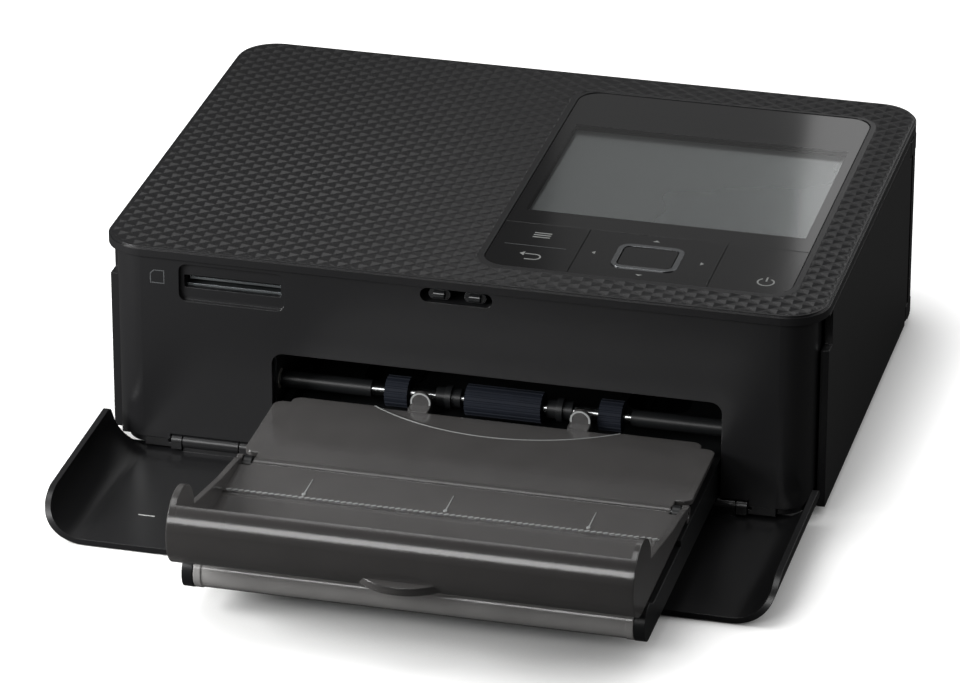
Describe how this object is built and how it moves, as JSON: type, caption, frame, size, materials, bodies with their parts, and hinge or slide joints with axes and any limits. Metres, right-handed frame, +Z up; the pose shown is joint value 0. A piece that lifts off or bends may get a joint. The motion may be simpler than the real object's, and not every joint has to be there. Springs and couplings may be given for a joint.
{
  "type": "compact photo printer",
  "caption": "Compact dye-sublimation photo printer with top screen and keys, fold-down front flap and a clear-lidded paper cassette in its mouth.",
  "frame": {"origin": "middle of the footprint with the paper cassette in and the front flap down, at the underside of the feet", "axes": "+X to the printer's right seen from its front, +Y to its back, +Z up"},
  "size_m": [0.1822, 0.2246, 0.0576],
  "materials": {
    "case_black": "fine satin texture",
    "key_gloss": "polished black",
    "panel_glass": "dark tinted glass",
    "screen_grey": "screen module",
    "board_green": "solder mask",
    "sheet_steel": "zinc-plated sheet",
    "ground_steel": "ground shaft",
    "aluminium": "extruded",
    "bright_metal": "satin chrome",
    "gear_white": "moulded acetal",
    "rubber_black": "matt rubber",
    "roller_rubber": "grooved blue-grey rubber",
    "roller_black": "ground rubber",
    "pad_grey": "silicone rubber",
    "catch_grey": "smooth dark plastic",
    "ink_film": "wound ink film",
    "ceramic": "ceramic strip",
    "tray_black": "smooth black",
    "smoke_clear": "smoky clear moulding"
  },
  "bodies": {
    "housing": {"bottom_case": "case_black", "rubber_feet": "rubber_black", "front_panel": "case_black", "top_cover": "case_black", "left_side_panel": "case_black", "rear_panel": "case_black", "display_window": "panel_glass", "lcd_module": "screen_grey", "key_board": "board_green", "chassis_frame": "sheet_steel", "gear_bracket": "sheet_steel", "roller_bushings": "gear_white", "ribbon_case": "tray_black", "fan_housing": "tray_black", "main_board": "board_green", "power_inlet": "tray_black", "usb_socket": "ground_steel", "card_socket": "sheet_steel", "head_pivot_rod": "ground_steel", "feed_motor": "ground_steel", "ribbon_motor": "ground_steel", "door_pin": "ground_steel", "flap_pins": "ground_steel", "case_screws": "ground_steel"},
    "flap": {"front_flap": "case_black"},
    "catch_left": {"catch_left": "catch_grey"},
    "catch_right": {"catch_right": "catch_grey"},
    "ink_door": {"ink_door": "case_black"},
    "menu_key": {"menu_key": "key_gloss"},
    "arrow_pad": {"arrow_pad": "pad_grey"},
    "arrow_key": {"arrow_key": "key_gloss", "ok_ring": "bright_metal"},
    "ok_button": {"ok_button": "key_gloss"},
    "power_key": {"power_key": "key_gloss"},
    "pickup": {"pickup_shaft": "ground_steel", "pickup_rollers": "roller_rubber", "pickup_collars": "tray_black", "pickup_gear": "gear_white"},
    "platen": {"platen_roller": "roller_black", "platen_shaft": "ground_steel"},
    "capstan": {"capstan_roller": "ground_steel", "capstan_gear": "gear_white"},
    "pinch_roller": {"pinch_roller": "roller_black"},
    "feed_idler": {"feed_idler": "gear_white"},
    "feed_pinion": {"feed_pinion": "gear_white"},
    "ribbon_idler": {"ribbon_idler": "gear_white"},
    "ribbon_pinion": {"ribbon_pinion": "gear_white"},
    "takeup": {"takeup_spool": "ink_film", "takeup_gear": "gear_white"},
    "supply": {"supply_spool": "ink_film"},
    "head": {"thermal_head": "ceramic", "head_heat_sink": "aluminium"},
    "fan_rotor": {"fan_rotor": "tray_black"},
    "cassette": {"cassette_tray": "tray_black", "nose_bar": "smoke_clear", "lid_pins": "ground_steel", "lift_springs": "ground_steel"},
    "lift_plate": {"lift_plate": "tray_black"},
    "inner_lid": {"inner_lid": "smoke_clear"},
    "outer_lid": {"outer_lid": "smoke_clear"}
  },
  "joints": [
    {"name": "flap_hinge", "type": "hinge", "parent": "housing", "child": "flap", "pos_m": [0, -0.0185, 0.0043], "axis": [-1, 0, 0], "range_deg": [0, 2]},
    {"name": "catch_left_slide", "type": "slide", "parent": "housing", "child": "catch_left", "axis": [-1, 0, 0], "range_m": [0, 0.001], "stiffness_N_per_m": 100, "springref_m": -0.0005},
    {"name": "catch_right_slide", "type": "slide", "parent": "housing", "child": "catch_right", "axis": [1, 0, 0], "range_m": [0, 0.001], "stiffness_N_per_m": 100, "springref_m": -0.0005},
    {"name": "ink_door_hinge", "type": "hinge", "parent": "housing", "child": "ink_door", "pos_m": [0.0894, 0.0973, 0.028], "axis": [0, 0, 1], "range_deg": [0, 90]},
    {"name": "menu_key_rock", "type": "hinge", "parent": "housing", "child": "menu_key", "pos_m": [0.014, 0.00415, 0.0546], "axis": [1, 0, 0], "range_deg": [-1.2, 1.2], "stiffness_Nm_per_rad": 0.05},
    {"name": "arrow_pad_rock", "type": "hinge", "parent": "housing", "child": "arrow_pad", "pos_m": [0.0424, 0.00415, 0.0527], "axis": [1, 0, 0], "range_deg": [-1.2, 1.2], "stiffness_Nm_per_rad": 0.05},
    {"name": "arrow_key_rock", "type": "hinge", "parent": "arrow_pad", "child": "arrow_key", "pos_m": [0.0424, 0.00415, 0.0546], "axis": [0, 1, 0], "range_deg": [-1, 1], "stiffness_Nm_per_rad": 0.05},
    {"name": "ok_press", "type": "slide", "parent": "housing", "child": "ok_button", "axis": [0, 0, -1], "range_m": [0, 0.0005], "stiffness_N_per_m": 100, "springref_m": -0.0005},
    {"name": "power_press", "type": "slide", "parent": "housing", "child": "power_key", "axis": [0, 0, -1], "range_m": [0, 0.0005], "stiffness_N_per_m": 100, "springref_m": -0.0005},
    {"name": "capstan_spin", "type": "hinge", "parent": "housing", "child": "capstan", "pos_m": [0.0098, 0.0473, 0.0264], "axis": [1, 0, 0], "continuous": true},
    {"name": "feed_idler_spin", "type": "hinge", "parent": "housing", "child": "feed_idler", "pos_m": [0.0098, 0.05914, 0.03071], "axis": [1, 0, 0], "continuous": true},
    {"name": "feed_pinion_spin", "type": "hinge", "parent": "housing", "child": "feed_pinion", "pos_m": [0.0098, 0.07509, 0.03352], "axis": [1, 0, 0], "continuous": true},
    {"name": "pinch_spin", "type": "hinge", "parent": "housing", "child": "pinch_roller", "pos_m": [0.0098, 0.0473, 0.0308], "axis": [1, 0, 0], "continuous": true},
    {"name": "platen_spin", "type": "hinge", "parent": "housing", "child": "platen", "pos_m": [0.0098, 0.0353, 0.025], "axis": [1, 0, 0], "continuous": true},
    {"name": "takeup_spin", "type": "hinge", "parent": "housing", "child": "takeup", "pos_m": [0.0098, 0.01134, 0.037], "axis": [1, 0, 0], "continuous": true},
    {"name": "ribbon_pinion_spin", "type": "hinge", "parent": "housing", "child": "ribbon_pinion", "pos_m": [0.0098, 0.02367, 0.03125], "axis": [1, 0, 0], "continuous": true},
    {"name": "ribbon_idler_spin", "type": "hinge", "parent": "housing", "child": "ribbon_idler", "pos_m": [0.0098, -0.00202, 0.03163], "axis": [1, 0, 0], "continuous": true},
    {"name": "pickup_spin", "type": "hinge", "parent": "housing", "child": "pickup", "pos_m": [0.0098, -0.0089, 0.0199], "axis": [1, 0, 0], "continuous": true},
    {"name": "supply_spin", "type": "hinge", "parent": "housing", "child": "supply", "pos_m": [0.0098, 0.0593, 0.037], "axis": [1, 0, 0], "continuous": true},
    {"name": "fan_spin", "type": "hinge", "parent": "housing", "child": "fan_rotor", "pos_m": [-0.0651, 0.1043, 0.035], "axis": [0, 1, 0], "continuous": true},
    {"name": "head_lift", "type": "hinge", "parent": "housing", "child": "head", "pos_m": [0.0098, 0.0433, 0.047], "axis": [-1, 0, 0], "range_deg": [0, 6]},
    {"name": "cassette_slide", "type": "slide", "parent": "housing", "child": "cassette", "axis": [0, -1, 0], "range_m": [0, 0.18]},
    {"name": "outer_lid_hinge", "type": "hinge", "parent": "cassette", "child": "outer_lid", "pos_m": [0.0098, -0.0529, 0.0182], "axis": [-1, 0, 0], "range_deg": [0, 95]},
    {"name": "inner_lid_hinge", "type": "hinge", "parent": "cassette", "child": "inner_lid", "pos_m": [0.0098, -0.0529, 0.0182], "axis": [1, 0, 0], "range_deg": [0, 11]},
    {"name": "lift_plate_hinge", "type": "hinge", "parent": "cassette", "child": "lift_plate", "pos_m": [0.0098, -0.0847, 0.0127], "axis": [1, 0, 0], "range_deg": [-1.2, 1.2], "stiffness_Nm_per_rad": 5, "springref_deg": 0.1, "deforming": ["lift_springs"]}
  ],
  "couplings": [
    {"joint": "feed_idler_spin", "follows": "capstan_spin", "ratio": -2},
    {"joint": "feed_pinion_spin", "follows": "capstan_spin", "ratio": 5.7143},
    {"joint": "ribbon_pinion_spin", "follows": "takeup_spin", "ratio": -1.4286},
    {"joint": "ribbon_idler_spin", "follows": "takeup_spin", "ratio": -1.25},
    {"joint": "pickup_spin", "follows": "takeup_spin", "ratio": 1.1111}
  ]
}
